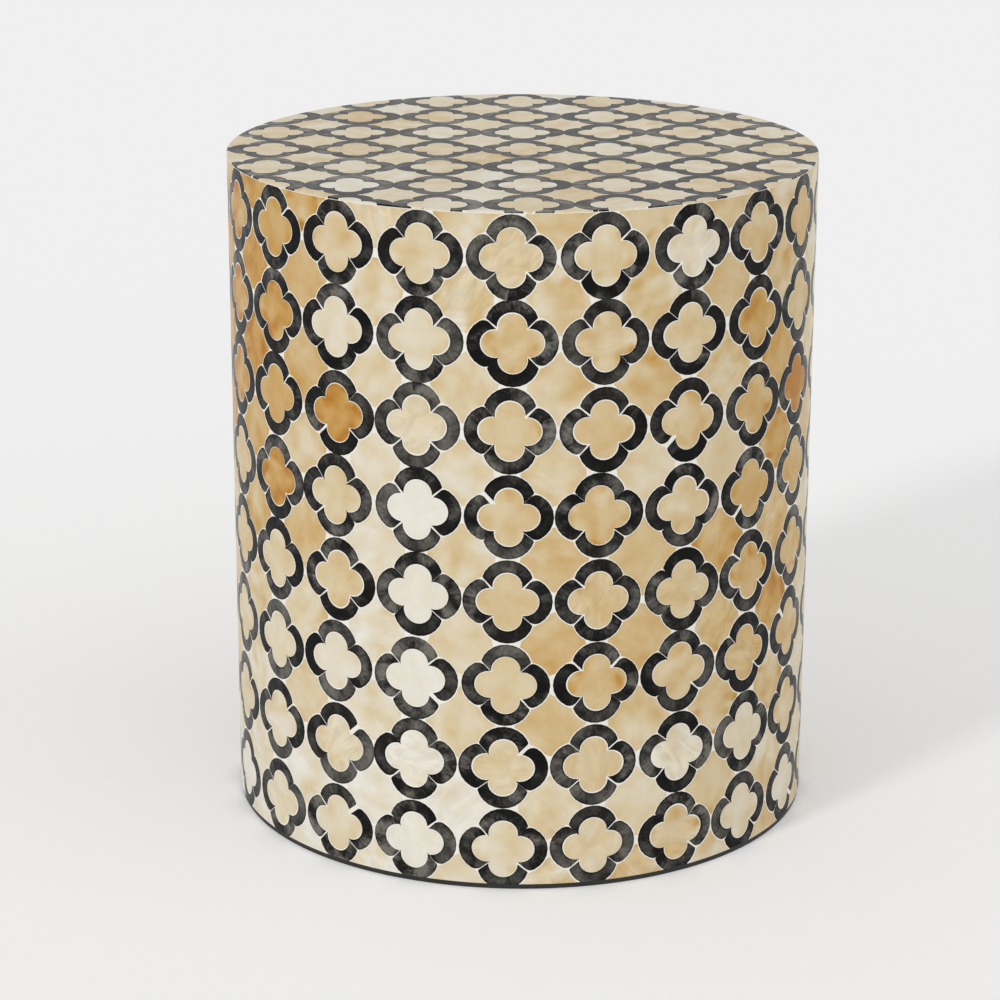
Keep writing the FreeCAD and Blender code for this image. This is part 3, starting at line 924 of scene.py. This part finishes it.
def pale_tones(rng, shade, mood=None):
    tone = min(max(rng.gauss(pale_tone, pale_spread) + shade, palest), deepest)
    cloud = rng.uniform(*pale_cloud)
    stain = rng.random() ** stain_rarity * (pale_stain + shade)
    # more pearl where the shell is paler: partly painted glints
    pearl = min(rng.random() ** pearl_rarity + max(-shade, 0) * white_pearl_and_glint, 1)
    if mood:
        least, most, cloud, stain = mood_tones[mood]
        tone = rng.uniform(least, most)
    return {"tone": tone, "cloud": cloud, "stain": stain, "pearl": pearl}


def black_tones(rng, shade):
    # lighter where the shell is paler: partly painted sheen
    tone = drawn(rng, black_kinds) - black_sorting_and_sheen * shade
    return {"tone": tone, "cloud": rng.uniform(*black_cloud), "stain": 0, "pearl": 0}


def add_heart(laid, foil, seed, shade, mood=None):
    # hearts are cut from the more even parts of the shell
    rng = random.Random(f"heart {seed}")
    flat = bmesh.new()
    heart_outline(flat, foil)
    grain = sheet_grain(rng, foil.centre)
    tones = pale_tones(rng, shade, mood)
    tones["cloud"] *= heart_clouding
    laid.add(flat, grain, sheet_lie(foil.centre), tones)


def add_petals(laid, foil, around, seed, shade):
    # around holds the quatrefoil beyond each petal: east, north, west and south
    for quarter, beyond in enumerate(around):
        rng = random.Random(f"petal {seed} {quarter}")
        slip = sideways(rng, petal_slip)
        # petals left and right of a heart are filed rounder than those above and below it
        roundness = rng.uniform(least_filing, most_filing)
        if quarter % 2 == 1:
            roundness *= upright_filing
        parts = [None]
        if rng.random() < split_petals:
            turn = rng.uniform(-split_turn, split_turn)
            parts = [(1, turn), (-1, turn)]
        place = band_place(foil.lobe(quarter), foil.centre)
        for part in parts:
            flat = bmesh.new()
            petal_outline(flat, foil, quarter, slip, roundness, part)
            # a petal goes no further than halfway to the petal of the next quatrefoil
            here, there = foil.lobe(quarter), beyond.lobe(quarter + 2)
            outwards = (there - here).normalized()
            cut(flat, (here + there) / 2 - outwards * contact / 2, outwards)
            lie = petal_lie(place, foil.pitch)
            laid.add(flat, petal_grain(rng, place), lie, black_tones(rng, shade))


def add_star(laid, foils, seed, shade_at, tip_size, joint):
    rng = random.Random(f"star {seed}")
    flat = bmesh.new()
    tips = []
    for number in range(4):
        # tips that point up and down are the sharper ones
        width = drawn(rng, star_tips) * tip_size
        if number % 2 == 0:
            width *= upright_tip_size
        slant = rng.uniform(-1, 1) * tip_slant * width
        tips.append((width + slant, width - slant))
    star_outline(flat, foils, tips, rng.uniform(*joint))
    centre = sum((foil.centre for foil in foils), Vector()) / 4
    grain = sheet_grain(rng, centre)
    laid.add(flat, grain, sheet_lie(centre), pale_tones(rng, shade_at(centre)))


def bent(laid, name, node, material):
    bend_round(laid.mesh)
    finished(laid.mesh, name, node, material, drum_radius)


# Side inlay
for level in range(side_rows):
    row = level + 1
    hearts, petals = Laid(side_sheet, trim_side), Laid(side_sheet, trim_side)
    for column in range(side_columns):
        foil = side_foil(level, column)
        shade = sorted_and_sheen_shade(foil.centre)
        seed = f"side {level} {column}"
        around = [
            side_foil(level, column + 1),
            side_foil(level + 1, column),
            side_foil(level, column - 1),
            side_foil(level - 1, column),
        ]
        from_front = (column + side_columns // 2) % side_columns - side_columns // 2
        mood = heart_moods.get((row, from_front))
        add_heart(hearts, foil, seed, shade, mood)
        add_petals(petals, foil, around, seed, shade)
    bent(hearts, f"laid_hearts_row_{row}", f"side_hearts_row_{row}", pale)
    bent(petals, f"laid_petals_row_{row}", f"side_petals_row_{row}", black)
for level in range(-1, side_rows):
    stars = Laid(side_sheet, trim_side)
    for column in range(side_columns):
        around = corners(side_foil, level, column, (0, 1), (1, 0))
        seed = f"side {level} {column}"
        add_star(stars, around, seed, sorted_and_sheen_shade, side_tip_size, side_star_joint)
    if level < 0:
        part = "base"
    elif level == side_rows - 1:
        part = "rim"
    else:
        part = f"row_{level + 1}"
    bent(stars, f"laid_stars_{part}", f"side_stars_{part}", pale)

# Top inlay
hearts, petals, stars = (Laid(top_sheet, trim_top) for _ in range(3))
for across in top_reach:
    for along in top_reach:
        foil = top_foil(across, along)
        seed = f"top {across} {along}"
        around = [
            top_foil(across + 1, along),
            top_foil(across, along + 1),
            top_foil(across - 1, along),
            top_foil(across, along - 1),
        ]
        add_heart(hearts, foil, seed, top_tone_and_glare)
        add_petals(petals, foil, around, seed, top_tone_and_glare)
        around = corners(top_foil, across, along, (1, 0), (0, 1))
        add_star(stars, around, seed, lambda centre: top_tone_and_glare, top_tip_size, top_star_joint)
for laid, kind, slot, material in (
    (hearts, "hearts", "pale_shell", pale),
    (petals, "petals", "black_shell", black),
    (stars, "stars", "pale_shell", pale),
):
    lay_on_top(laid.mesh)
    finished(laid.mesh, f"laid_top_{kind}", f"top_{kind}", material)


# Filler that stands in every joint, sanded flush
def turned_ring(inner, outer, low, high):
    mesh = bmesh.new()
    section = [(inner, low), (outer, low), (outer, high), (inner, high)]
    verts = [mesh.verts.new((reach, 0, height)) for reach, height in section]
    edges = [mesh.edges.new(pair) for pair in zip(verts, verts[1:] + verts[:1])]
    bmesh.ops.spin(
        mesh,
        geom=verts + edges,
        cent=(0, 0, 0),
        axis=UP,
        angle=2 * math.pi,
        steps=drum_segments,
        use_merge=True,
    )
    bmesh.ops.remove_doubles(mesh, verts=mesh.verts, dist=touch)
    bmesh.ops.recalc_face_normals(mesh, faces=mesh.faces)
    return mesh


def soften_ring(mesh, radius, height):
    arris = []
    for edge in mesh.edges:
        reach = min(vert.co.to_2d().length for vert in edge.verts)
        if reach > radius - touch and min(vert.co.z for vert in edge.verts) > height - touch:
            arris.append(edge)
    soften(mesh, arris)


def turned_disc(radius, low, high):
    mesh = bmesh.new()
    bmesh.ops.create_circle(
        mesh,
        cap_ends=True,
        segments=drum_segments,
        radius=radius,
        matrix=Matrix.Translation((0, 0, low)),
    )
    grown = bmesh.ops.extrude_face_region(mesh, geom=mesh.faces[:])["geom"]
    raised = [item for item in grown if isinstance(item, bmesh.types.BMVert)]
    bmesh.ops.translate(mesh, verts=raised, vec=(0, 0, high - low))
    bmesh.ops.recalc_face_normals(mesh, faces=mesh.faces)
    return mesh


joint_radius = drum_radius - joint_sink
joint_top = drum_height - joint_sink
rim_inside = drum_radius - rim_filler_width
side_joints = turned_ring(wall_radius, joint_radius, side_base, side_top)
finished(side_joints, "side_joints", "side_filler", filler, joint_radius)
top_joints = turned_disc(rim_inside, board_top, joint_top)
finished(top_joints, "top_joints", "top_filler", filler)
rim_joints = turned_ring(rim_inside, joint_radius, side_top, joint_top)
soften_ring(rim_joints, joint_radius, joint_top)
finished(rim_joints, "rim_joints", "rim_filler", filler, joint_radius)

# Floor, light and camera, with its lens and film in millimetres
floor_size = 30
floor_gap = 0.3 * mm
floor_lift = 0.165
sky_light = 0.6
sky_seen = 0.86
camera_place = (0, -1.88266, 0.777261)
camera_lens = 115.839
camera_film = 36
camera_pitch = 0.306846
camera_yaw = -0.006884
camera_roll = 0.002084


def shown_to_camera(tree):
    # 1 for what the camera sees straight, mirrored or through glass, and 0 for light that spreads
    path = tree.nodes.new("ShaderNodeLightPath")
    total = path.outputs["Is Camera Ray"]
    for kind in ("Is Glossy Ray", "Is Transmission Ray"):
        node = tree.nodes.new("ShaderNodeMath")
        node.operation = "MAXIMUM"
        tree.links.new(total, node.inputs[0])
        tree.links.new(path.outputs[kind], node.inputs[1])
        total = node.outputs[0]
    return total


def studio_floor():
    # pale paper, that the camera sees a little paler than it lights the drum
    finish = Finish("studio_floor")
    finish.set(base_color=(0.9, 0.9, 0.9, 1), roughness=0.9, specular_IOR_level=0.0)
    finish.set(emission_color=(1, 1, 1, 1))
    seen = shown_to_camera(finish.tree)
    finish.set(emission_strength=finish.product(seen, floor_lift))
    return finish.material


floor_mesh = bmesh.new()
bmesh.ops.create_grid(floor_mesh, x_segments=1, y_segments=1, size=floor_size / 2)
bmesh.ops.translate(floor_mesh, verts=floor_mesh.verts, vec=(0, 0, -floor_gap))
floor_data = bpy.data.meshes.new("floor")
floor_mesh.to_mesh(floor_data)
floor_mesh.free()
floor = bpy.data.objects.new("floor", floor_data)
bpy.context.scene.collection.objects.link(floor)
floor_data.materials.append(studio_floor())

world = bpy.data.worlds.new("studio")
world.use_nodes = True
studio_seen = shown_to_camera(world.node_tree)
studio_light = world.node_tree.nodes.new("ShaderNodeMapRange")
world.node_tree.links.new(studio_seen, studio_light.inputs["Value"])
studio_light.inputs["To Min"].default_value = sky_light
studio_light.inputs["To Max"].default_value = sky_seen
backdrop = world.node_tree.nodes["Background"]
backdrop.inputs["Color"].default_value = (1, 1, 1, 1)
world.node_tree.links.new(studio_light.outputs[0], backdrop.inputs["Strength"])
bpy.context.scene.world = world


def lamp(name, azimuth, rise, width, strength):
    # a far lamp: its angle round from the front, its rise and its width, in degrees
    data = bpy.data.lights.new(name, "SUN")
    data.angle = math.radians(width)
    data.energy = strength * math.pi
    light = bpy.data.objects.new(name, data)
    bpy.context.scene.collection.objects.link(light)
    azimuth, rise = math.radians(azimuth), math.radians(rise)
    way = Vector((math.sin(azimuth), -math.cos(azimuth), math.tan(rise)))
    light.rotation_euler = way.to_track_quat("Z", "Y").to_euler()


lamp("key", azimuth=-42, rise=27, width=9, strength=0.26)
lamp("fill", azimuth=50, rise=20, width=90, strength=0.165)

camera_data = bpy.data.cameras.new("camera")
camera_data.sensor_width = camera_film
camera_data.lens = camera_lens
camera = bpy.data.objects.new("camera", camera_data)
bpy.context.scene.collection.objects.link(camera)
camera.matrix_world = (
    Matrix.Translation(camera_place)
    @ Matrix.Rotation(-camera_yaw, 4, "Z")
    @ Matrix.Rotation(QUARTER - camera_pitch, 4, "X")
    @ Matrix.Rotation(camera_roll, 4, "Z")
)
bpy.context.scene.camera = camera
bpy.context.scene.view_settings.view_transform = "Standard"
